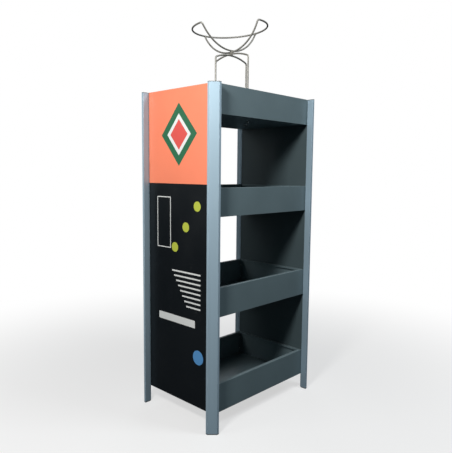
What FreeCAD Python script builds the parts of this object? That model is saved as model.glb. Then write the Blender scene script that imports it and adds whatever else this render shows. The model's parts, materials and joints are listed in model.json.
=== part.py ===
# Four-tray retail display stand with a wire ball cradle on top, in millimetres.
# X runs along the front, the front faces -Y, +Z is up, and the origin is on the floor under the middle.
import FreeCAD, Part
import math
import os

V = FreeCAD.Vector

# Overall sizes
stand_width = 732.0            # outside the corner posts, along X
stand_depth = 508.0            # outside the corner posts, along Y
stand_height = 1500.0          # floor to the top of the post caps

# Corner post section, measured from the two outer planes that meet at the corner
post_leg = 41.0                # length of each leg of the section
post_flat = 11.5               # narrow flat at the end of each leg, beside the slanted face
post_wall = 2.0
panel_recess = 32.5            # outer planes of the post to the faces of panels and trays
shadow_gap_width = 5.0
shadow_gap_depth = 1.5
post_edge_radius = 1.0

# Post caps and feet
top_cap_thickness = 3.0
foot_thickness = 5.0
plug_length = 20.0
plug_clearance = 0.2

# Side panels and the printed films on them
panel_thickness = 5.0
film_thickness = 0.3
film_margin = 0.5              # bare strip between a film and the posts
motif_thickness = 0.2
header_height = 418.0          # upper colour field, from the panel's top down
panel_bottom = 83.0            # lower edge of the panels and films, above the floor

# Trays
tray_clearance = 0.25          # beside each side panel
sheet = 1.2
upper_tray_height = 124.0
lower_tray_height = 130.0
lowest_tray_top = 207.0        # the top tray's rim is level with the post caps
tray_count = 4
upper_tray_count = 2
rim_width = 16.0
rim_drop = 8.0
tray_corner_radius = 1.8

# Screws that hold the trays and panels to the posts
screw_diameter = 3.0
screw_hole = 3.4
screw_head_diameter = 5.2
screw_head_height = 2.0
screw_length = 12.0
screw_hole_reach = 9.0         # from the face of a post's notch into its hollow
screw_wall_gap = 0.3           # screw head to the tray's front or back wall
screw_low = 28.0               # lower screw above the tray's underside
screw_spacing = 66.0

# Wire work
wire = 8.0
hoop_half_span = 107.0         # leg of a hoop to the middle of the stand
hoop_shoulder_height = 1679.0  # where the arch would meet the leg's line
hoop_arch_rise = 21.0
hoop_bend_radius = 12.0
cradle_half_length = 186.0     # along X, ring middle line to the middle
cradle_half_width = 174.0      # along Y
cradle_drop = 112.0            # ring down to the bottom of the lower bow
cradle_tilt = 3.4              # degrees, right-hand side up
cradle_lean = 2.4              # degrees, front up
lean_lift = 0.09               # keeps the leaning bow off the hoop under it
weld_bite = 1.0                # how far crossing stretches of the cradle sink together
weld_touch = 0.05              # between the separate wires where they are spot welded
elbow_trim = 1.0               # taken off each arc of the cradle before its ends are joined
elbow_swell = 1.15             # ball at an elbow, against the wire's own thickness
ring_tolerance = 0.1           # how closely round bends follow the ring's ellipse

# Fixings of the hoops
nut_width = 13.0
nut_height = 6.5
washer_diameter = 16.0
washer_hole = 8.4
washer_thickness = 1.6
thread_past_nut = 2.5

# Printed motifs on the films
badge_half_width = 118.0
badge_half_height = 138.0
badge_border = 30.0
badge_gap = 16.0
badge_rise = 8.0               # badge centre above the middle of the upper field
dot_diameter = 44.0
dot_spacing_across = 74.0
dot_spacing_down = 96.0
dot_count = 3
dot_edge_distance = 92.0       # first dot from the front edge of the film
dot_top_distance = 96.0
frame_width = 96.0
frame_height = 236.0
frame_line = 4.0
frame_gap = 7.0                # from the last dot to the frame
frame_top_distance = 60.0
bar_height = 7.0
bar_spacing = 22.0
bar_count = 8
bar_length = 190.0
bar_step = 14.0                # each bar is shorter than the one above
bar_edge_distance = 70.0
bar_top_distance = 400.0
stripe_height = 34.0
stripe_length = 250.0
stripe_top_distance = 640.0
disc_diameter = 66.0
disc_top_distance = 770.0
disc_edge_distance = 84.0

half_width = stand_width / 2
half_depth = stand_depth / 2
tray_pitch = (stand_height - lowest_tray_top) / (tray_count - 1)
tray_tops = [stand_height - tray_pitch * level for level in range(tray_count)]
tray_heights = [upper_tray_height] * upper_tray_count
tray_heights += [lower_tray_height] * (tray_count - upper_tray_count)
tray_half_x = half_width - panel_recess - panel_thickness - tray_clearance
tray_half_y = half_depth - panel_recess
top_floor = tray_tops[0] - tray_heights[0]
corners = {"front_left": (-1, -1), "front_right": (1, -1), "back_left": (-1, 1), "back_right": (1, 1)}
sides = {"left": -1, "right": 1}
screw_inset = panel_recess + sheet + screw_wall_gap + screw_head_diameter / 2


def save(name, shape):
    """Write one sub-part and say how big it is."""
    shape.exportStep("parts/" + name + ".step")
    print(f"{name:24s} solids {len(shape.Solids):3d}  volume {shape.Volume:12.1f}  valid {shape.isValid()}")


def box(low, high):
    """A block between two opposite corners."""
    return Part.makeBox(high[0] - low[0], high[1] - low[1], high[2] - low[2], V(*low))


def corner_prism(points, corner, bottom, top):
    """Extrude an outline given as distances from the corner's two outer planes."""
    sign_x, sign_y = corner
    places = [V(sign_x * (half_width - u), sign_y * (half_depth - v), bottom) for u, v in points]
    wire_loop = Part.makePolygon(places + places[:1])
    return Part.Face(wire_loop).extrude(V(0, 0, top - bottom))


def post_outline():
    """The section's outline: slanted face, narrow flats, and the inner notch with its shadow gaps."""
    s, t, q = post_leg, post_flat, panel_recess
    gap, step = shadow_gap_width, shadow_gap_depth
    first_leg = [(0, s), (0, s - t), (s - t, 0), (s, 0), (s, q - gap), (s - step, q - gap), (s - step, q)]
    return first_leg + [(q, q)] + [(v, u) for u, v in reversed(first_leg[4:])]


def cavity_outline(clearance=0.0):
    """The hollow inside the section, one wall inside the slanted face and the legs."""
    inset = post_wall + clearance
    slant = post_wall * (math.sqrt(2) - 1) + clearance * (math.sqrt(2) - 1)
    far = post_leg - inset
    near = post_leg - post_flat + slant
    core = panel_recess - shadow_gap_width - inset
    return [(inset, far), (inset, near), (near, inset), (far, inset), (far, core), (core, core), (core, far)]


def soften_post_edges(shape, corner):
    """Round the four upright edges beside the slanted face."""
    sign_x, sign_y = corner
    s, t = post_leg, post_flat
    wanted = [(sign_x * (half_width - u), sign_y * (half_depth - v)) for u, v in
              [(0, s), (0, s - t), (s - t, 0), (s, 0)]]
    edges = []
    for edge in shape.Edges:
        a, b = edge.Vertexes[0].Point, edge.Vertexes[-1].Point
        upright = abs(a.x - b.x) < 1e-6 and abs(a.y - b.y) < 1e-6
        if upright and any(math.hypot(a.x - x, a.y - y) < 1e-3 for x, y in wanted):
            edges.append(edge)
    return shape.makeFillet(post_edge_radius, edges)


def screw_places(level, corner):
    """Heights and plan position of the two screws in one corner of one tray."""
    sign_y = corner[1]
    y = sign_y * (half_depth - screw_inset)
    low = tray_tops[level] - tray_heights[level] + screw_low
    return [(y, low), (y, low + screw_spacing)]


def make_post(corner):
    """One hollow corner extrusion with the holes that its screws bite into."""
    post = corner_prism(post_outline(), corner, foot_thickness, stand_height - top_cap_thickness)
    post = soften_post_edges(post, corner)
    post = post.cut(corner_prism(cavity_outline(), corner, 0, stand_height))
    sign_x = corner[0]
    notch = sign_x * (half_width - panel_recess)
    for level in range(len(tray_tops)):
        for y, z in screw_places(level, corner):
            hole = Part.makeCylinder(screw_diameter / 2, screw_hole_reach, V(notch, y, z), V(sign_x, 0, 0))
            post = post.cut(hole)
    return post


def make_cap(corner, bottom, top, plug_up):
    """A moulded end cap: a plate of the post's outline with a plug that fills the hollow."""
    plate = soften_post_edges(corner_prism(post_outline(), corner, bottom, top), corner)
    if plug_up:
        plug = corner_prism(cavity_outline(plug_clearance), corner, top, top + plug_length)
    else:
        plug = corner_prism(cavity_outline(plug_clearance), corner, bottom - plug_length, bottom)
    return plate.fuse(plug).removeSplitter()


def make_side_panel(side):
    """A flat board held in the notches of a front and a back post."""
    outer = side * (half_width - panel_recess)
    inner = side * (half_width - panel_recess - panel_thickness)
    low = (min(outer, inner), -tray_half_y, panel_bottom)
    high = (max(outer, inner), tray_half_y, stand_height)
    panel = box(low, high)
    for corner in corners.values():
        if corner[0] != side:
            continue
        for level in range(len(tray_tops)):
            for y, z in screw_places(level, corner):
                hole = Part.makeCylinder(screw_hole / 2, panel_thickness, V(inner, y, z), V(side, 0, 0))
                panel = panel.cut(hole)
    return panel


film_half_y = half_depth - post_leg - film_margin


def film_box(side, y_low, y_high, z_low, z_high, layer=0):
    """A film patch on a side panel; layer 0 lies on the board and layer 1 on the first film."""
    face = half_width - panel_recess + (film_thickness if layer else 0)
    depth = motif_thickness if layer else film_thickness
    x_low = min(side * face, side * (face + depth))
    return box((x_low, y_low, z_low), (x_low + depth, y_high, z_high))


def film_shape(side, outline):
    """A second-layer film patch from an outline of (distance from the front edge, height) points."""
    face = half_width - panel_recess + film_thickness
    places = [V(side * face, -film_half_y + across, up) for across, up in outline]
    return Part.Face(Part.makePolygon(places + places[:1])).extrude(V(side * motif_thickness, 0, 0))


def film_disc(side, across, up, diameter):
    """A round second-layer film patch."""
    face = half_width - panel_recess + film_thickness
    centre = V(side * face, -film_half_y + across, up)
    return Part.makeCylinder(diameter / 2, motif_thickness, centre, V(side, 0, 0))


header_bottom = stand_height - header_height
field_width = 2 * film_half_y


def diamond(half_across, half_up):
    """Corner points of the badge's diamond, in film coordinates."""
    middle = field_width / 2
    height = stand_height - header_height / 2 + badge_rise
    return [(middle - half_across, height), (middle, height - half_up),
            (middle + half_across, height), (middle, height + half_up)]


def inset_diamond(amount):
    """The badge's diamond drawn in by one distance on every side."""
    slope = math.hypot(badge_half_width, badge_half_height)
    return diamond(badge_half_width - amount * slope / badge_half_height,
                   badge_half_height - amount * slope / badge_half_width)


def make_badge(side):
    """Border, field and heart of the diamond badge on the upper film."""
    outer = film_shape(side, inset_diamond(0))
    field = film_shape(side, inset_diamond(badge_border))
    heart = film_shape(side, inset_diamond(badge_border + badge_gap))
    return outer.cut(field), field.cut(heart), heart


def make_dots(side):
    """A slanting row of round patches near the top of the lower film."""
    discs = []
    for index in range(dot_count):
        across = dot_edge_distance + index * dot_spacing_across
        up = header_bottom - dot_top_distance - index * dot_spacing_down
        discs.append(film_disc(side, across, up, dot_diameter))
    return Part.makeCompound(discs)


def make_light_print(side):
    """A thin upright frame, a block of short bars and one bold stripe, all in the light film."""
    left = dot_edge_distance + (dot_count - 1) * dot_spacing_across + dot_diameter / 2 + frame_gap
    top = header_bottom - frame_top_distance
    right, bottom = left + frame_width, top - frame_height
    y0, z_line = -film_half_y, frame_line
    frame = film_box(side, y0 + left, y0 + right, bottom, top, 1)
    window = film_box(side, y0 + left + z_line, y0 + right - z_line, bottom + z_line, top - z_line, 1)
    pieces = [frame.cut(window)]
    start = y0 + bar_edge_distance
    for index in range(bar_count):
        length = bar_length - index * bar_step
        up = header_bottom - bar_top_distance - index * bar_spacing
        pieces.append(film_box(side, start, start + length, up, up + bar_height, 1))
    up = header_bottom - stripe_top_distance
    start = y0 + field_width - bar_edge_distance - stripe_length
    pieces.append(film_box(side, start, start + stripe_length, up, up + stripe_height, 1))
    return Part.makeCompound(pieces)


def make_tray(level):
    """A folded sheet tray: floor, four walls, and a rim turned in and down all round."""
    top, height = tray_tops[level], tray_heights[level]
    bottom = top - height
    tray = box((-tray_half_x, -tray_half_y, bottom), (tray_half_x, tray_half_y, top))
    edges = []
    for edge in tray.Edges:
        a, b = edge.Vertexes[0].Point, edge.Vertexes[-1].Point
        if abs(a.z - b.z) > 1 or abs(a.z - top) < 1e-6 and abs(b.z - top) < 1e-6:
            edges.append(edge)
    tray = tray.makeFillet(tray_corner_radius, edges)
    x, y = tray_half_x - sheet, tray_half_y - sheet
    tray = tray.cut(box((-x, -y, bottom + sheet), (x, y, top - sheet)))
    x, y = tray_half_x - rim_width, tray_half_y - rim_width
    tray = tray.cut(box((-x, -y, top - 2 * sheet), (x, y, top + sheet)))
    hem = box((-x - sheet, -y - sheet, top - rim_drop), (x + sheet, y + sheet, top - sheet / 2))
    hem = hem.cut(box((-x, -y, top - 2 * rim_drop), (x, y, top + sheet)))
    tray = tray.fuse(hem).removeSplitter()
    holes = []
    for corner in corners.values():
        for place_y, place_z in screw_places(level, corner):
            start = V(corner[0] * (tray_half_x - 2 * sheet), place_y, place_z)
            holes.append(Part.makeCylinder(screw_hole / 2, 4 * sheet, start, V(corner[0], 0, 0)))
    if level == 0:
        for leg_x, leg_y in leg_places():
            holes.append(Part.makeCylinder(washer_hole / 2, 3 * sheet, V(leg_x, leg_y, bottom - sheet)))
    return tray.cut(Part.makeCompound(holes))


def leg_places():
    """Plan positions of the four hoop legs."""
    a = hoop_half_span
    return [(-a, 0), (a, 0), (0, -a), (0, a)]


def make_screw(corner, y, z):
    """A pan-head screw from inside a tray, through the panel, into the post."""
    inner_face = tray_half_x - sheet
    direction = V(corner[0], 0, 0)
    shank = Part.makeCylinder(screw_diameter / 2, screw_length, V(corner[0] * inner_face, y, z), direction)
    head = Part.makeCylinder(screw_head_diameter / 2, screw_head_height,
                             V(corner[0] * (inner_face - screw_head_height), y, z), direction)
    outer_x = inner_face - screw_head_height
    rim = [e for e in head.Edges
           if abs(abs(e.CenterOfMass.x) - outer_x) < 1e-3 and e.Length > screw_head_diameter * 2]
    head = head.makeFillet(screw_head_height * 0.6, rim)
    return shank.fuse(head)


def make_tray_screws(level):
    """The eight screws of one tray."""
    screws = []
    for corner in corners.values():
        for y, z in screw_places(level, corner):
            screws.append(make_screw(corner, y, z))
    return Part.makeCompound(screws)


def sweep(path_edges):
    """Carry the wire's round section along joined edges."""
    path = Part.Wire(path_edges)
    first = path_edges[0]
    start = first.valueAt(first.FirstParameter)
    tangent = first.tangentAt(first.FirstParameter)
    section = Part.Wire([Part.makeCircle(wire / 2, start, tangent)])
    return path.makePipeShell([section], True, False)


def hoop_path(along, apex_height):
    """An upturned U in a plane: two upright legs, two shoulder bends and one shallow arch."""
    rise, half = hoop_arch_rise, hoop_half_span
    drop = hoop_shoulder_height + hoop_arch_rise - apex_height
    shoulder_z = hoop_shoulder_height - drop
    arch_radius = (half * half + rise * rise) / (2 * rise)
    centre_z = shoulder_z + rise - arch_radius
    bend = hoop_bend_radius
    bend_x = half - bend
    bend_z = centre_z + math.sqrt((arch_radius - bend) ** 2 - bend_x ** 2)
    reach = arch_radius / (arch_radius - bend)
    tangent_x, tangent_z = bend_x * reach, centre_z + (bend_z - centre_z) * reach
    middle_angle = math.atan2(tangent_z - bend_z, tangent_x - bend_x) / 2
    mid_x, mid_z = bend_x + bend * math.cos(middle_angle), bend_z + bend * math.sin(middle_angle)
    end = top_floor - washer_thickness - nut_height - thread_past_nut

    def at(distance, z):
        return V(distance * along[0], distance * along[1], z)

    left_tangent, right_tangent = at(-tangent_x, tangent_z), at(tangent_x, tangent_z)
    return [Part.LineSegment(at(-half, end), at(-half, bend_z)).toShape(),
            Part.Arc(at(-half, bend_z), at(-mid_x, mid_z), left_tangent).toShape(),
            Part.Arc(left_tangent, at(0, centre_z + arch_radius), right_tangent).toShape(),
            Part.Arc(right_tangent, at(mid_x, mid_z), at(half, bend_z)).toShape(),
            Part.LineSegment(at(half, bend_z), at(half, end)).toShape()]


hoop_top = hoop_shoulder_height + hoop_arch_rise       # middle line of the upper hoop at its highest
cradle_low = hoop_top + wire + weld_touch + lean_lift  # middle line of the cradle's lower bow
ring_height = cradle_low + cradle_drop


def trimmed(arc):
    """Take a little off both ends of an arc, so that the ball at an elbow holds the ends together."""
    share = elbow_trim / arc.Length
    first, last = arc.FirstParameter, arc.LastParameter
    cut_away = (last - first) * share
    return arc.Curve.toShape(first + cut_away, last - cut_away)


def make_cradle():
    """One bent wire: lower bow, three quarters of a ring, upper bow, welded where it meets itself."""
    long_half, short_half = cradle_half_length, cradle_half_width
    lower_bow = Part.Arc(V(0, short_half, ring_height), V(0, 0, cradle_low), V(0, -short_half, ring_height))
    upper_low = cradle_low + wire - weld_bite
    upper_bow = Part.Arc(V(-long_half, 0, ring_height), V(0, 0, upper_low), V(long_half, 0, ring_height))
    ellipse = Part.Ellipse(V(0, 0, ring_height), long_half, short_half)
    short_of_end = elbow_trim / long_half
    ring = Part.ArcOfEllipse(ellipse, short_of_end - math.pi / 2, math.pi - short_of_end)
    bends = ring.toBSpline().toBiArcs(ring_tolerance)
    cradle = sweep([bend.toShape() for bend in bends])
    for x, y in [(0, -short_half), (-long_half, 0)]:
        cradle = cradle.fuse(Part.makeSphere(wire / 2 * elbow_swell, V(x, y, ring_height)))
    for bow in (lower_bow, upper_bow):
        cradle = cradle.fuse(sweep([trimmed(bow.toShape())]))
    cradle.rotate(V(0, 0, cradle_low), V(1, 0, 0), -cradle_lean)
    cradle.rotate(V(0, 0, cradle_low), V(0, 1, 0), -cradle_tilt)
    return cradle


def make_nuts():
    """Eight hexagon nuts, one above and one below the top tray's floor on each hoop leg."""
    nuts = []
    upper = top_floor + sheet + washer_thickness
    lower = top_floor - washer_thickness - nut_height
    radius = nut_width / math.sqrt(3)
    for x, y in leg_places():
        for z in (lower, upper):
            turns = [math.radians(60 * k) for k in range(6)]
            points = [V(x + radius * math.cos(turn), y + radius * math.sin(turn), z) for turn in turns]
            nut = Part.Face(Part.makePolygon(points + points[:1])).extrude(V(0, 0, nut_height))
            nuts.append(nut.cut(Part.makeCylinder(wire / 2, nut_height, V(x, y, z))))
    return Part.makeCompound(nuts)


def make_washers():
    """Eight plain washers between the nuts and the top tray's floor."""
    washers = []
    for x, y in leg_places():
        for z in (top_floor - washer_thickness, top_floor + sheet):
            disc = Part.makeCylinder(washer_diameter / 2, washer_thickness, V(x, y, z))
            washers.append(disc.cut(Part.makeCylinder(washer_hole / 2, washer_thickness, V(x, y, z))))
    return Part.makeCompound(washers)


os.makedirs("parts", exist_ok=True)

for name, corner in corners.items():
    save("post_" + name, make_post(corner))
    save("top_cap_" + name, make_cap(corner, stand_height - top_cap_thickness, stand_height, False))
    save("foot_" + name, make_cap(corner, 0, foot_thickness, True))

for name, side in sides.items():
    save("side_panel_" + name, make_side_panel(side))
    save("header_film_" + name, film_box(side, -film_half_y, film_half_y, header_bottom, stand_height))
    save("lower_film_" + name, film_box(side, -film_half_y, film_half_y, panel_bottom, header_bottom))
    border, field, heart = make_badge(side)
    save("badge_border_" + name, border)
    save("badge_field_" + name, field)
    save("badge_heart_" + name, heart)
    save("print_dots_" + name, make_dots(side))
    save("print_lines_" + name, make_light_print(side))
    disc_up = header_bottom - disc_top_distance
    save("print_disc_" + name, film_disc(side, disc_edge_distance, disc_up, disc_diameter))

for level in range(len(tray_tops)):
    save(f"tray_{level + 1}", make_tray(level))
    save(f"tray_{level + 1}_screws", make_tray_screws(level))

save("leg_hoop_side", sweep(hoop_path((1, 0), hoop_top - wire - weld_touch)))
save("leg_hoop_front_back", sweep(hoop_path((0, 1), hoop_top)))
save("ball_cradle", make_cradle())
save("hoop_nuts", make_nuts())
save("hoop_washers", make_washers())
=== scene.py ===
# Display stand with trays and a wire ball cradle: finishes, wire work, light and camera, in metres.
import json
import math

import bpy
import numpy as np
from mathutils import Matrix, Vector


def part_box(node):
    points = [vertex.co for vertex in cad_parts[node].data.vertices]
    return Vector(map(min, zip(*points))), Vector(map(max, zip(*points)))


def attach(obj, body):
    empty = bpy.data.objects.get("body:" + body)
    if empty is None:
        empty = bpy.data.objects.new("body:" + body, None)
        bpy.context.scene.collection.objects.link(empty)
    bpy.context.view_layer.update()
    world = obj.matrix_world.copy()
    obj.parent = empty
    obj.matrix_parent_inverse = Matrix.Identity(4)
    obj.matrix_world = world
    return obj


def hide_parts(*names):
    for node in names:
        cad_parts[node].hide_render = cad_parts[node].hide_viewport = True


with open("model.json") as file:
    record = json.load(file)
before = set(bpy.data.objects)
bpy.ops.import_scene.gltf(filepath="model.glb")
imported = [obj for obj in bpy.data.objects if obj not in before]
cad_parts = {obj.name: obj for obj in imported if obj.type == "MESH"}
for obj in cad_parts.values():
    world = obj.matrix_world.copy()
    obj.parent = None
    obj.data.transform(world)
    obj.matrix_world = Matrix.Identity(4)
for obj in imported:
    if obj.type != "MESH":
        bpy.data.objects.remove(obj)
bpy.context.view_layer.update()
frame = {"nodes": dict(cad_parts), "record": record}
nodes = frame["nodes"]
print("frame loaded:", len(nodes), "nodes")

noiseWork = {  # values shared by all the finishes
    "low": 0.32, "high": 0.68,           # a noise stays between these two almost everywhere
    "mottleDetail": 3.0, "reliefDetail": 2.0, "tintDetail": 4.0, "scuffDetail": 1.0, "dustDetail": 5.0,
    "scuffPatchScale": 9.0, "scuffPatchStart": 0.55, "scuffPatchFull": 0.7,
    "dustStart": 0.6, "dustFull": 0.95,  # upward part of the normal where dust starts and lies fully
}


def newNode(tree, kind, settings=None, sockets=None):  # one node, with its settings and socket values
    node = tree.nodes.new(kind)
    for name, value in (settings or {}).items():
        setattr(node, name, value)
    for name, value in (sockets or {}).items():
        node.inputs[name].default_value = value
    return node


def newGroup(name, inputs, outputs):  # an empty shader group with named sockets
    tree = bpy.data.node_groups.new(name, "ShaderNodeTree")
    for label, kind, value in inputs:
        socket = tree.interface.new_socket(label, in_out="INPUT", socket_type=kind)
        socket.default_value = value
    for label, kind in outputs:
        tree.interface.new_socket(label, in_out="OUTPUT", socket_type=kind)
    return tree, tree.nodes.new("NodeGroupInput"), tree.nodes.new("NodeGroupOutput")


def newMaterial(name):  # a material with its Principled shader; returns material, tree, shader
    material = bpy.data.materials.new(name)
    material.use_nodes = True
    return material, material.node_tree, material.node_tree.nodes["Principled BSDF"]


def placeGroup(tree, group, sockets=None):  # one use of a shared group
    return newNode(tree, "ShaderNodeGroup", {"node_tree": group}, sockets)


def stretchedNoise(tree, groupIn, detail):  # noise on object coordinates, scaled by Stretch and Scale
    place = newNode(tree, "ShaderNodeTexCoord")
    stretch = newNode(tree, "ShaderNodeVectorMath", {"operation": "MULTIPLY"})
    noise = newNode(tree, "ShaderNodeTexNoise", None, {"Detail": detail})
    tree.links.new(place.outputs["Object"], stretch.inputs[0])
    tree.links.new(groupIn.outputs["Stretch"], stretch.inputs[1])
    tree.links.new(stretch.outputs[0], noise.inputs["Vector"])
    tree.links.new(groupIn.outputs["Scale"], noise.inputs["Scale"])
    return noise.outputs["Fac"]


def makeMottleGroup():  # soft patches: a value that wanders between Low and High
    tree, groupIn, groupOut = newGroup(
        "mottle",
        [("Scale", "NodeSocketFloat", 8.0), ("Stretch", "NodeSocketVector", (1, 1, 1)),
         ("Low", "NodeSocketFloat", 0.0), ("High", "NodeSocketFloat", 1.0)],
        [("Value", "NodeSocketFloat")])
    spread = newNode(tree, "ShaderNodeMapRange", None,
                     {"From Min": noiseWork["low"], "From Max": noiseWork["high"]})
    tree.links.new(stretchedNoise(tree, groupIn, noiseWork["mottleDetail"]), spread.inputs["Value"])
    tree.links.new(groupIn.outputs["Low"], spread.inputs["To Min"])
    tree.links.new(groupIn.outputs["High"], spread.inputs["To Max"])
    tree.links.new(spread.outputs["Result"], groupOut.inputs["Value"])
    return tree


def makeReliefGroup():  # fine relief for a Bump node: noise, stretched for drawn or extruded metal
    tree, groupIn, groupOut = newGroup(
        "relief",
        [("Scale", "NodeSocketFloat", 500.0), ("Stretch", "NodeSocketVector", (1, 1, 1))],
        [("Height", "NodeSocketFloat")])
    tree.links.new(stretchedNoise(tree, groupIn, noiseWork["reliefDetail"]), groupOut.inputs["Height"])
    return tree


def makeTintGroup():  # a colour made a little lighter and darker in patches
    tree, groupIn, groupOut = newGroup(
        "tint",
        [("Colour", "NodeSocketColor", (0.5, 0.5, 0.5, 1)), ("Scale", "NodeSocketFloat", 8.0),
         ("Stretch", "NodeSocketVector", (1, 1, 1)), ("Amount", "NodeSocketFloat", 0.1)],
        [("Colour", "NodeSocketColor")])
    swing = newNode(tree, "ShaderNodeMapRange", None,
                    {"From Min": noiseWork["low"], "From Max": noiseWork["high"],
                     "To Min": -1.0, "To Max": 1.0})
    share = newNode(tree, "ShaderNodeMath", {"operation": "MULTIPLY"})
    factor = newNode(tree, "ShaderNodeMath", {"operation": "ADD"}, {1: 1.0})
    tinted = newNode(tree, "ShaderNodeVectorMath", {"operation": "SCALE"})
    tree.links.new(stretchedNoise(tree, groupIn, noiseWork["tintDetail"]), swing.inputs["Value"])
    tree.links.new(swing.outputs["Result"], share.inputs[0])
    tree.links.new(groupIn.outputs["Amount"], share.inputs[1])
    tree.links.new(share.outputs[0], factor.inputs[0])
    tree.links.new(groupIn.outputs["Colour"], tinted.inputs[0])
    tree.links.new(factor.outputs[0], tinted.inputs["Scale"])
    tree.links.new(tinted.outputs[0], groupOut.inputs["Colour"])
    return tree


def makeScuffGroup():  # hairlines where a noise passes its middle value, kept only in patches
    tree, groupIn, groupOut = newGroup(
        "scuffs",
        [("Scale", "NodeSocketFloat", 30.0), ("Stretch", "NodeSocketVector", (1, 1, 1)),
         ("Width", "NodeSocketFloat", 0.004), ("Amount", "NodeSocketFloat", 1.0)],
        [("Mask", "NodeSocketFloat")])
    middle = newNode(tree, "ShaderNodeMath", {"operation": "SUBTRACT"}, {1: 0.5})
    away = newNode(tree, "ShaderNodeMath", {"operation": "ABSOLUTE"})
    near = newNode(tree, "ShaderNodeMath", {"operation": "LESS_THAN"})
    where = newNode(tree, "ShaderNodeTexNoise", None,
                    {"Scale": noiseWork["scuffPatchScale"], "Detail": noiseWork["scuffDetail"]})
    patch = newNode(tree, "ShaderNodeMapRange", None,
                    {"From Min": noiseWork["scuffPatchStart"], "From Max": noiseWork["scuffPatchFull"]})
    both = newNode(tree, "ShaderNodeMath", {"operation": "MULTIPLY"})
    scaled = newNode(tree, "ShaderNodeMath", {"operation": "MULTIPLY"})
    place = newNode(tree, "ShaderNodeTexCoord")
    tree.links.new(stretchedNoise(tree, groupIn, noiseWork["scuffDetail"]), middle.inputs[0])
    tree.links.new(middle.outputs[0], away.inputs[0])
    tree.links.new(away.outputs[0], near.inputs[0])
    tree.links.new(groupIn.outputs["Width"], near.inputs[1])
    tree.links.new(place.outputs["Object"], where.inputs["Vector"])
    tree.links.new(where.outputs["Fac"], patch.inputs["Value"])
    tree.links.new(near.outputs[0], both.inputs[0])
    tree.links.new(patch.outputs["Result"], both.inputs[1])
    tree.links.new(both.outputs[0], scaled.inputs[0])
    tree.links.new(groupIn.outputs["Amount"], scaled.inputs[1])
    tree.links.new(scaled.outputs[0], groupOut.inputs["Mask"])
    return tree


def makeDustGroup():  # dust that lies on upward faces: how far the normal points up, times a noise
    tree, groupIn, groupOut = newGroup(
        "dust",
        [("Scale", "NodeSocketFloat", 20.0), ("Stretch", "NodeSocketVector", (1, 1, 1)),
         ("Amount", "NodeSocketFloat", 0.2)],
        [("Mask", "NodeSocketFloat")])
    shape = newNode(tree, "ShaderNodeNewGeometry")
    parts = newNode(tree, "ShaderNodeSeparateXYZ")
    up = newNode(tree, "ShaderNodeMapRange", None,
                 {"From Min": noiseWork["dustStart"], "From Max": noiseWork["dustFull"]})
    patchy = newNode(tree, "ShaderNodeMath", {"operation": "MULTIPLY"})
    scaled = newNode(tree, "ShaderNodeMath", {"operation": "MULTIPLY"})
    tree.links.new(shape.outputs["Normal"], parts.inputs[0])
    tree.links.new(parts.outputs["Z"], up.inputs["Value"])
    tree.links.new(up.outputs["Result"], patchy.inputs[0])
    tree.links.new(stretchedNoise(tree, groupIn, noiseWork["dustDetail"]), patchy.inputs[1])
    tree.links.new(patchy.outputs[0], scaled.inputs[0])
    tree.links.new(groupIn.outputs["Amount"], scaled.inputs[1])
    tree.links.new(scaled.outputs[0], groupOut.inputs["Mask"])
    return tree


mottle = makeMottleGroup()
relief = makeReliefGroup()
tint = makeTintGroup()
scuffs = makeScuffGroup()
dust = makeDustGroup()


def addTint(tree, shader, look):  # patchy colour into Base Color, with scuffs and dust mixed over it
    base = placeGroup(tree, tint, {"Colour": (*look["colour"], 1), "Scale": look["patchScale"],
                                   "Stretch": look["stretch"], "Amount": look["patchAmount"]})
    last = base.outputs["Colour"]
    if look.get("scuffAmount"):
        marks = placeGroup(tree, scuffs, {"Scale": look["scuffScale"], "Stretch": look["stretch"],
                                          "Width": look["scuffWidth"], "Amount": look["scuffAmount"]})
        last = mixOver(tree, last, marks.outputs["Mask"], look["scuffColour"])
    if look.get("dustAmount"):
        lying = placeGroup(tree, dust, {"Scale": look["dustScale"], "Amount": look["dustAmount"]})
        last = mixOver(tree, last, lying.outputs["Mask"], look["dustColour"])
    tree.links.new(last, shader.inputs["Base Color"])


def mixOver(tree, under, mask, colour):  # a colour laid over another where the mask is
    mix = newNode(tree, "ShaderNodeMix", {"data_type": "RGBA"})
    rgba = [socket for socket in mix.inputs if socket.type == "RGBA"]
    rgba[1].default_value = (*colour, 1)
    tree.links.new(mask, mix.inputs["Factor"])
    tree.links.new(under, rgba[0])
    return [socket for socket in mix.outputs if socket.type == "RGBA"][0]


def addRoughness(tree, shader, look):  # roughness that wanders between two values
    patches = placeGroup(tree, mottle, {"Scale": look["glossScale"], "Stretch": look["stretch"],
                                        "Low": look["roughness"][0], "High": look["roughness"][1]})
    tree.links.new(patches.outputs["Value"], shader.inputs["Roughness"])


def addRelief(tree, shader, look):  # fine bumps, with their height in metres
    fine = placeGroup(tree, relief, {"Scale": look["reliefScale"], "Stretch": look["stretch"]})
    bump = newNode(tree, "ShaderNodeBump", None,
                   {"Strength": look["reliefStrength"], "Distance": look["reliefDepth"]})
    tree.links.new(fine.outputs["Height"], bump.inputs["Height"])
    tree.links.new(bump.outputs["Normal"], shader.inputs["Normal"])


def makeFinish(name, look):  # a whole material from one dictionary of values
    material, tree, shader = newMaterial(name)
    for socket, value in look["shader"].items():
        shader.inputs[socket].default_value = value
    addTint(tree, shader, look)
    addRoughness(tree, shader, look)
    addRelief(tree, shader, look)
    return material


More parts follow.
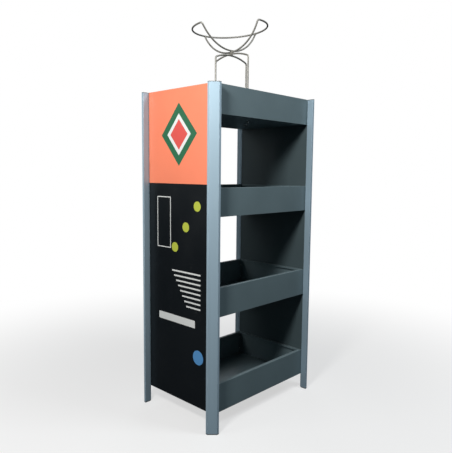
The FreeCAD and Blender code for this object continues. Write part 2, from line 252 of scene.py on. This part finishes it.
aluminiumLook = {  # matt anodised extrusion with faint upright die lines
    "colour": (0.39, 0.53, 0.63), "patchScale": 6.0, "patchAmount": 0.03, "stretch": (1, 1, 0.06),
    "scuffScale": 60.0, "scuffWidth": 0.006, "scuffAmount": 0.10, "scuffColour": (0.7, 0.76, 0.8),
    "roughness": (0.46, 0.56), "glossScale": 14.0,
    "reliefScale": 1400.0, "reliefStrength": 0.25, "reliefDepth": 0.00006,
    "shader": {"Metallic": 0.3, "IOR": 1.5},
}

paintLook = {  # slate powder coat on folded steel
    "colour": (0.135, 0.190, 0.210), "patchScale": 5.0, "patchAmount": 0.05, "stretch": (1, 1, 1),
    "scuffScale": 25.0, "scuffWidth": 0.003, "scuffAmount": 0.1, "scuffColour": (0.2, 0.24, 0.25),
    "dustScale": 30.0, "dustAmount": 0.22, "dustColour": (0.30, 0.31, 0.30),
    "roughness": (0.40, 0.52), "glossScale": 12.0,
    "reliefScale": 700.0, "reliefStrength": 0.35, "reliefDepth": 0.0001,
    "shader": {"Metallic": 0.0, "IOR": 1.5},
}

shadedBoardLook = {  # slate-faced board of the side panels; its colour is the trays' slate darkened, as painted shade
    # painted shade: this colour is the trays' slate paint made darker, standing in for the shade on the
    # panels' inner faces
    "colour": (0.074, 0.106, 0.116), "patchScale": 4.0, "patchAmount": 0.05, "stretch": (1, 1, 1),
    "scuffScale": 20.0, "scuffWidth": 0.003, "scuffAmount": 0.08, "scuffColour": (0.18, 0.2, 0.2),
    "roughness": (0.38, 0.50), "glossScale": 9.0,
    "reliefScale": 900.0, "reliefStrength": 0.25, "reliefDepth": 0.00008,
    "shader": {"Metallic": 0.0, "IOR": 1.5},
}

filmLook = {  # printed vinyl; the colour of each film is in filmColours
    "patchScale": 7.0, "patchAmount": 0.025, "stretch": (1, 1, 1),
    "scuffScale": 18.0, "scuffWidth": 0.002, "scuffAmount": 0.06, "scuffColour": (0.5, 0.5, 0.5),
    "roughness": (0.28, 0.40), "glossScale": 6.0,
    "reliefScale": 260.0, "reliefStrength": 0.12, "reliefDepth": 0.0001,
    "shader": {"Metallic": 0.0, "IOR": 1.45},
}

filmColours = {
    "film_orange": (0.94, 0.260, 0.145),
    "film_black": (0.006, 0.008, 0.010),
    "film_green": (0.030, 0.150, 0.075),
    "film_white": (0.78, 0.80, 0.79),
    "film_red": (0.72, 0.100, 0.085),
    "film_lime": (0.50, 0.56, 0.07),
    "film_blue": (0.11, 0.33, 0.66),
}

capLook = {  # moulded end caps and feet
    "colour": (0.20, 0.23, 0.25), "patchScale": 30.0, "patchAmount": 0.06, "stretch": (1, 1, 1),
    "dustScale": 60.0, "dustAmount": 0.2, "dustColour": (0.35, 0.35, 0.34),
    "roughness": (0.48, 0.62), "glossScale": 60.0,
    "reliefScale": 1500.0, "reliefStrength": 0.4, "reliefDepth": 0.00008,
    "shader": {"Metallic": 0.0, "IOR": 1.46},
}

wireLook = {  # dull nickel-plated drawn wire
    "colour": (0.32, 0.31, 0.28), "patchScale": 25.0, "patchAmount": 0.05, "stretch": (1, 1, 1),
    "scuffScale": 60.0, "scuffWidth": 0.003, "scuffAmount": 0.08, "scuffColour": (0.45, 0.44, 0.40),
    "roughness": (0.42, 0.54), "glossScale": 40.0,
    "reliefScale": 400.0, "reliefStrength": 0.05, "reliefDepth": 0.00002,
    "shader": {"Metallic": 0.45, "IOR": 1.5},
}

zincLook = {  # zinc plate on screws, nuts and washers
    "colour": (0.60, 0.60, 0.57), "patchScale": 220.0, "patchAmount": 0.12, "stretch": (1, 1, 1),
    "scuffScale": 500.0, "scuffWidth": 0.02, "scuffAmount": 0.3, "scuffColour": (0.8, 0.8, 0.78),
    "roughness": (0.26, 0.42), "glossScale": 300.0,
    "reliefScale": 2500.0, "reliefStrength": 0.2, "reliefDepth": 0.00004,
    "shader": {"Metallic": 1.0},
}

finishes = {
    "post_aluminium": makeFinish("anodised post", aluminiumLook),
    "tray_steel": makeFinish("slate powder coat", paintLook),
    "panel_board": makeFinish("slate board painted shade", shadedBoardLook),
    "cap_plastic": makeFinish("moulded cap", capLook),
    "wire_steel": makeFinish("plated wire", wireLook),
    "zinc_fixings": makeFinish("zinc plate", zincLook),
}
for slot, colour in filmColours.items():
    finishes[slot] = makeFinish(slot.replace("_", " "), {**filmLook, "colour": colour})
print("finishes made:", len(finishes))


def dressNodes():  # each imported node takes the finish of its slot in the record
    for entry in frame["record"]["subparts"]:
        mesh = nodes[entry["node"]].data
        mesh.materials.clear()
        mesh.materials.append(finishes[entry["material_slot"]])


dressNodes()
print("packed nodes dressed")

wireWork = {
    "sides": 24,               # faces round a wire
    "spacing": 0.0012,         # between the rings of points along a wire
    "hoopBend": 0.012,         # middle-line radius of the shoulder bends
    "archRise": 0.021,         # crown of a hoop above the point where its arch would meet a leg
    "archCount": 64,           # points on half an arch
    "bendCount": 24,           # points on a shoulder bend or a corner of the cradle
    "threadLength": 0.025,
    "threadPitch": 0.00125,
    "threadDepth": 0.00045,
    "threadFade": 0.002,       # stretch over which the thread runs out
    "threadMargin": 0.003,     # stretch above the thread with rings as close as in it
    "threadFineness": 4,       # how many times closer the rings lie there
    "cradleHalfLength": 0.186,
    "cradleHalfWidth": 0.174,
    "cradleDrop": 0.112,       # from the ring down to the bottom of the lower bow
    "cradleTilt": 3.4,         # degrees, right-hand side up
    "cradleLean": 2.4,         # degrees, front up
    "bowCount": 160,           # points on a bow
    "ringCount": 400,          # points on three quarters of the ring
    "elbowReach": 0.010,       # from a corner of the cradle to where its bend starts
    "softenPasses": 3,
    "spotWeldTouch": 0.00014,  # between the cradle and the hoop under it
    "weldBite": 0.001,         # how far the two bows sink together where they cross
}


def spreadEvenly(points, spacing):  # the same line with points an equal distance apart
    steps = np.linalg.norm(np.diff(points, axis=0), axis=1)
    along = np.concatenate([[0.0], np.cumsum(steps)])
    places = np.linspace(0.0, along[-1], max(int(along[-1] / spacing), 8) + 1)
    return np.stack([np.interp(places, along, points[:, k]) for k in range(3)], axis=1)


def softenLine(points, passes):  # each inner point moves halfway to the middle of its neighbours
    for _ in range(passes):
        points[1:-1] = (points[:-2] + 2 * points[1:-1] + points[2:]) / 4
    return points


def makeMesh(name, points, faces, finish):  # a smooth-shaded object at the origin
    mesh = bpy.data.meshes.new(name)
    mesh.from_pydata(points.tolist(), [], faces)
    mesh.materials.append(finish)
    mesh.polygons.foreach_set("use_smooth", np.ones(len(mesh.polygons), dtype=bool))
    mesh.update()
    piece = bpy.data.objects.new(name, mesh)
    bpy.context.scene.collection.objects.link(piece)
    return piece


def tubeAlong(line, towards, radius):
    # Each ring is its centre + radius * (cos a * side + sin a * across). The side is the towards direction
    # made square to the line, and across is square to both.
    sides = wireWork["sides"]
    forward = np.gradient(line, axis=0)
    forward /= np.linalg.norm(forward, axis=1, keepdims=True)
    side = towards - np.sum(towards * forward, axis=1, keepdims=True) * forward
    side /= np.linalg.norm(side, axis=1, keepdims=True)
    across = np.cross(forward, side)
    turn = np.linspace(0, 2 * np.pi, sides, endpoint=False)
    radii = np.broadcast_to(np.asarray(radius, float), (len(line), sides))
    points = (line[:, None, :] + radii[..., None] * (np.cos(turn)[None, :, None] * side[:, None, :]
                                                     + np.sin(turn)[None, :, None] * across[:, None, :]))
    ring = np.arange(sides)
    start = np.arange(len(line) - 1)[:, None] * sides
    quads = np.stack([start + ring, start + (ring + 1) % sides,
                      start + sides + (ring + 1) % sides, start + sides + ring], axis=-1).reshape(-1, 4)
    ends = [ring[::-1].tolist(), (ring + (len(line) - 1) * sides).tolist()]
    return points.reshape(-1, 3), quads.tolist() + ends


def arcPoints(centre, radius, startTurn, endTurn, count):  # a flat arc: (distance, height) pairs
    turn = np.linspace(startTurn, endTurn, count)
    return np.stack([centre[0] + radius * np.cos(turn), centre[1] + radius * np.sin(turn)], axis=1)


def hoopLine(halfSpan, top, foot):  # an upturned U: half of it, from crown to foot, and its mirror image
    rise, bend = wireWork["archRise"], wireWork["hoopBend"]
    archRadius = (halfSpan ** 2 + rise ** 2) / (2 * rise)
    archCentre = (0.0, top - archRadius)
    bendX = halfSpan - bend
    bendZ = archCentre[1] + math.sqrt((archRadius - bend) ** 2 - bendX ** 2)
    meet = math.atan2(bendZ - archCentre[1], bendX)
    half = np.concatenate([arcPoints(archCentre, archRadius, math.pi / 2, meet, wireWork["archCount"]),
                           arcPoints((bendX, bendZ), bend, meet, 0.0, wireWork["bendCount"])[1:],
                           [[halfSpan, foot]]])
    return np.concatenate([half[::-1] * [-1, 1], half[1:]])


def threadedRadius(line, foot, radius):
    # Near the foot the radius swings by the thread's depth with height and with the angle round the wire.
    turn = np.linspace(0, 2 * np.pi, wireWork["sides"], endpoint=False)[None, :]
    height = (line[:, 2] - foot)[:, None]
    wave = (np.cos(2 * np.pi * height / wireWork["threadPitch"] - turn) - 1) / 2
    within = np.clip((wireWork["threadLength"] - height) / wireWork["threadFade"], 0, 1)
    return radius + wireWork["threadDepth"] * wave * within


def makeHoop(node, name, alongX):  # a leg hoop in the X-Z or Y-Z plane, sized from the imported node
    low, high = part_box(node)
    radius = (high.y - low.y) / 2 if alongX else (high.x - low.x) / 2
    halfSpan = (high.x if alongX else high.y) - radius
    flat = hoopLine(halfSpan, high.z - radius, low.z)
    zeros = np.zeros(len(flat))
    line = np.stack([flat[:, 0], zeros, flat[:, 1]] if alongX else [zeros, flat[:, 0], flat[:, 1]], axis=1)
    fineness = wireWork["threadFineness"]
    line = spreadEvenly(line, wireWork["spacing"] / fineness)
    keep = np.abs(line[:, 2] - low.z) < wireWork["threadLength"] + wireWork["threadMargin"]
    keep |= np.arange(len(line)) % fineness == 0
    keep[-1] = True
    line = line[keep]
    outward = np.array([[0.0, 1.0, 0.0]] if alongX else [[1.0, 0.0, 0.0]])
    points, faces = tubeAlong(line, np.broadcast_to(outward, line.shape),
                              threadedRadius(line, low.z, radius))
    piece = makeMesh(name, points, faces, finishes["wire_steel"])
    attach(piece, "root")
    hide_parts(node)
    return radius, high.z


makeHoop("leg_hoop_side", "side_hoop", True)
wireRadius, upperCrown = makeHoop("leg_hoop_front_back", "front_back_hoop", False)


def bowPoints(half, drop, lift, plane):  # a circular bow through two rim points and the bottom point
    radius = (half ** 2 + drop ** 2) / (2 * drop)
    reach = math.asin(half / radius)
    turn = np.linspace(-reach, reach, wireWork["bowCount"])
    out, up = radius * np.sin(turn), lift + radius * (1 - np.cos(turn))
    flat = np.zeros_like(out)
    return np.stack([out, flat, up] if plane == "X" else [flat, -out, up], axis=1)


def roundCorner(before, after, reach):
    # The corner K between two lines becomes the curve (1-t)^2 A + 2 t (1-t) K + t^2 B. A and B are the last
    # point before the corner and the first one after it that lie more than the reach away.
    corner = before[-1]
    before = before[np.linalg.norm(before - corner, axis=1) > reach]
    after = after[np.linalg.norm(after - corner, axis=1) > reach]
    t = np.linspace(0, 1, wireWork["bendCount"])[1:-1, None]
    bend = (1 - t) ** 2 * before[-1] + 2 * t * (1 - t) * corner + t ** 2 * after[0]
    return np.concatenate([before, bend, after])


def turnOfCradle():  # the cradle's lean and tilt about its lowest point, as one matrix
    lean = Matrix.Rotation(-math.radians(wireWork["cradleLean"]), 3, "X")
    tilt = Matrix.Rotation(-math.radians(wireWork["cradleTilt"]), 3, "Y")
    return np.array(tilt @ lean)


def makeCradle():  # one wire: lower bow, three quarters of an oval ring, upper bow, then turned as a whole
    halfLength, halfWidth = wireWork["cradleHalfLength"], wireWork["cradleHalfWidth"]
    drop = wireWork["cradleDrop"]
    bottom = upperCrown + wireWork["spotWeldTouch"] + wireRadius
    lift = 2 * wireRadius - wireWork["weldBite"]
    lowerBow = bowPoints(halfWidth, drop, 0.0, "Y")
    upperBow = bowPoints(halfLength, drop - lift, lift, "X")
    turn = np.linspace(-np.pi / 2, np.pi, wireWork["ringCount"])
    ring = np.stack([halfLength * np.cos(turn), halfWidth * np.sin(turn), np.full_like(turn, drop)], axis=1)
    line = roundCorner(lowerBow, ring, wireWork["elbowReach"])
    line = roundCorner(line, upperBow, wireWork["elbowReach"])
    line = softenLine(spreadEvenly(line, wireWork["spacing"]), wireWork["softenPasses"])
    towards = line - [0.0, 0.0, 2 * drop]
    points, faces = tubeAlong(line, towards, wireRadius)
    points = points @ turnOfCradle().T + [0.0, 0.0, bottom]
    piece = makeMesh("wire_cradle", points, faces, finishes["wire_steel"])
    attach(piece, "root")
    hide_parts("ball_cradle")
    return bottom, halfLength, halfWidth, drop, lift


cradleSizes = makeCradle()
print("wire work made")

beadLook = {
    "crossing": (0.0066, 0.0066, 0.0030),   # half sizes of a weld bead where wires cross
    "end": (0.0058, 0.0058, 0.0045),        # where a bow's free end meets the ring
    "endDrop": 0.0016,
    "lump": 0.12,                           # how uneven the beads are
    "phaseStep": 1.3,                       # turns the lumps from one bead to the next
    "countRound": 28,
    "rows": 17,
}


def beadSurface(centre, halfSizes, phase):
    # An ellipsoid whose radius swings a little with both angles; u goes round and v from pole to pole.
    u = np.linspace(0, 2 * np.pi, beadLook["countRound"], endpoint=False)[None, :]
    v = np.linspace(0, np.pi, beadLook["rows"])[:, None]
    swell = 1 + beadLook["lump"] * np.sin(3 * u + phase) * np.sin(2 * v + phase) * np.sin(v)
    shape = np.stack([np.sin(v) * np.cos(u), np.sin(v) * np.sin(u), np.cos(v) * np.ones_like(u)], axis=-1)
    points = np.asarray(centre) + shape * swell[..., None] * np.asarray(halfSizes)
    rows, count = points.shape[:2]
    inner = points[1:-1].reshape(-1, 3)
    poles = np.stack([points[0].mean(axis=0), points[-1].mean(axis=0)])
    k = np.arange(count)
    start = np.arange(rows - 3)[:, None] * count
    quads = np.stack([start + k, start + count + k, start + count + (k + 1) % count,
                      start + (k + 1) % count], axis=-1).reshape(-1, 4)
    top, bottom = len(inner), len(inner) + 1
    last = (rows - 3) * count
    fans = [[top, a, b] for a, b in zip(k.tolist(), ((k + 1) % count).tolist())]
    fans += [[bottom, last + b, last + a] for a, b in zip(k.tolist(), ((k + 1) % count).tolist())]
    return np.concatenate([inner, poles]), quads.tolist() + fans


def makeBeads():  # the visible welds, as one piece
    bottom, halfLength, halfWidth, drop, lift = cradleSizes
    lowCross = upperCrown - 2 * wireRadius
    ringHeight = drop - beadLook["endDrop"]
    ends = np.array([[0, halfWidth, ringHeight], [halfLength, 0, ringHeight]]) @ turnOfCradle().T
    spots = [((0, 0, height), beadLook["crossing"]) for height in (lowCross, upperCrown, bottom + lift / 2)]
    spots += [(end + [0, 0, bottom], beadLook["end"]) for end in ends]
    allPoints, allFaces, offset = [], [], 0
    for order, (centre, halfSizes) in enumerate(spots):
        points, faces = beadSurface(centre, halfSizes, order * beadLook["phaseStep"])
        allPoints.append(points)
        allFaces += [[index + offset for index in face] for face in faces]
        offset += len(points)
    piece = makeMesh("weld_beads", np.concatenate(allPoints), allFaces, finishes["wire_steel"])
    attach(piece, "root")


makeBeads()
print("weld beads made")

stageLook = {
    "floorSize": 60.0,
    "floorColour": (0.80, 0.80, 0.80),
    "floorPatchScale": 1.5,
    "floorPatchAmount": 0.01,
    "floorRoughness": 0.6,
    "floorSpecular": 0.2,
    "bounceColour": (0.06, 0.07, 0.08),  # what the floor throws back at the stand
    "fadeStart": 0.6,                    # the floor turns into the backdrop between these two distances
    "fadeEnd": 2.6,
    "fadeFrom": 0.60,                    # the share of backdrop in it under the stand
    "backdrop": (1.0, 1.0, 1.0),
    "ambient": (0.82, 0.93, 1.0),
    "ambientStrength": 0.10,
}

lightLook = {
    "key": {"place": (-1.84, -0.76, 2.10), "aim": (0.0, 0.0, 1.2), "size": 0.35, "power": 40.0,
            "colour": (1.0, 0.985, 0.96)},
    "fill": {"place": (0.7, -2.0, 3.4), "aim": (0.0, -0.2, 1.1), "size": 0.9, "power": 46.0,
             "colour": (0.92, 0.97, 1.0)},
    "back": {"place": (2.8, 3.0, 3.2), "aim": (0.0, 0.0, 0.9), "size": 2.0, "power": 18.0,
             "colour": (0.95, 0.97, 1.0)},
    "side": {"place": (-2.5, 0.75, 1.7), "aim": (-0.35, 0.1, 1.2), "size": 1.0, "power": 12.0,
             "colour": (1.0, 0.99, 0.97)},
}


def makeFloor():  # a pale floor that fades into the backdrop; the stand itself sees a darker one
    half = stageLook["floorSize"] / 2
    corners = np.array([[-half, -half, 0], [half, -half, 0], [half, half, 0], [-half, half, 0]])
    material, tree, shader = newMaterial("pale floor")
    shader.inputs["Roughness"].default_value = stageLook["floorRoughness"]
    shader.inputs["Specular IOR Level"].default_value = stageLook["floorSpecular"]
    addTint(tree, shader, {"colour": stageLook["floorColour"], "patchScale": stageLook["floorPatchScale"],
                           "patchAmount": stageLook["floorPatchAmount"], "stretch": (1, 1, 1)})
    place = newNode(tree, "ShaderNodeTexCoord")
    distance = newNode(tree, "ShaderNodeVectorMath", {"operation": "LENGTH"})
    fade = newNode(tree, "ShaderNodeMapRange", {"interpolation_type": "SMOOTHSTEP"},
                   {"From Min": stageLook["fadeStart"], "From Max": stageLook["fadeEnd"],
                    "To Min": stageLook["fadeFrom"]})
    glow = newNode(tree, "ShaderNodeEmission", None, {"Color": (*stageLook["backdrop"], 1)})
    seen = newNode(tree, "ShaderNodeMixShader")
    bounce = newNode(tree, "ShaderNodeBsdfDiffuse", None, {"Color": (*stageLook["bounceColour"], 1)})
    path = newNode(tree, "ShaderNodeLightPath")
    whole = newNode(tree, "ShaderNodeMixShader")
    tree.links.new(place.outputs["Object"], distance.inputs[0])
    tree.links.new(distance.outputs["Value"], fade.inputs["Value"])
    tree.links.new(fade.outputs["Result"], seen.inputs[0])
    tree.links.new(shader.outputs[0], seen.inputs[1])
    tree.links.new(glow.outputs[0], seen.inputs[2])
    tree.links.new(path.outputs["Is Camera Ray"], whole.inputs[0])
    tree.links.new(bounce.outputs[0], whole.inputs[1])
    tree.links.new(seen.outputs[0], whole.inputs[2])
    tree.links.new(whole.outputs[0], tree.nodes["Material Output"].inputs["Surface"])
    makeMesh("studio_floor", corners, [[0, 1, 2, 3]], material)


def makeWorld():  # soft light from all round, with a plain white backdrop for the camera
    world = bpy.data.worlds.new("studio")
    world.use_nodes = True
    bpy.context.scene.world = world
    tree = world.node_tree
    tree.nodes.clear()
    ambient = newNode(tree, "ShaderNodeBackground", None,
                      {"Color": (*stageLook["ambient"], 1), "Strength": stageLook["ambientStrength"]})
    backdrop = newNode(tree, "ShaderNodeBackground", None, {"Color": (*stageLook["backdrop"], 1)})
    path = newNode(tree, "ShaderNodeLightPath")
    mix = newNode(tree, "ShaderNodeMixShader")
    out = newNode(tree, "ShaderNodeOutputWorld")
    tree.links.new(path.outputs["Is Camera Ray"], mix.inputs[0])
    tree.links.new(ambient.outputs[0], mix.inputs[1])
    tree.links.new(backdrop.outputs[0], mix.inputs[2])
    tree.links.new(mix.outputs[0], out.inputs["Surface"])


def addLight(name, look):  # a soft square lamp aimed at a point
    lamp = bpy.data.lights.new(name, "AREA")
    lamp.size = look["size"]
    lamp.energy = look["power"]
    lamp.color = look["colour"]
    holder = bpy.data.objects.new(name, lamp)
    bpy.context.scene.collection.objects.link(holder)
    holder.location = look["place"]
    ahead = Vector(look["aim"]) - Vector(look["place"])
    holder.rotation_euler = ahead.to_track_quat("-Z", "Y").to_euler()
    holder.visible_camera = False


makeFloor()
makeWorld()
for name, look in lightLook.items():
    addLight(name + "_light", look)

cameraLook = {  # the photograph's view: place in metres, angles in degrees, lens and sensor in millimetres
    "place": (-1.80947, -1.70717, 1.13248),
    "yaw": 46.233,
    "pitch": -6.114,
    "roll": 0.527,
    "lens": 39.877,
    "sensor": 36.0,
}


def makeCamera():  # yaw turns from +Y towards +X, pitch lifts the view, roll turns it about its own line
    yaw, pitch, roll = (math.radians(cameraLook[k]) for k in ("yaw", "pitch", "roll"))
    ahead = Vector((math.sin(yaw) * math.cos(pitch), math.cos(yaw) * math.cos(pitch), math.sin(pitch)))
    level = Vector((math.cos(yaw), -math.sin(yaw), 0))
    upright = level.cross(ahead)
    right = level * math.cos(roll) + upright * math.sin(roll)
    up = upright * math.cos(roll) - level * math.sin(roll)
    data = bpy.data.cameras.new("camera")
    data.sensor_width = cameraLook["sensor"]
    data.lens = cameraLook["lens"]
    camera = bpy.data.objects.new("camera", data)
    bpy.context.scene.collection.objects.link(camera)
    turned = Matrix((right, up, -ahead)).transposed().to_4x4()
    camera.matrix_world = Matrix.Translation(cameraLook["place"]) @ turned
    bpy.context.scene.camera = camera


makeCamera()
bpy.context.scene.view_settings.view_transform = "Standard"
print("stage, lights and camera placed")
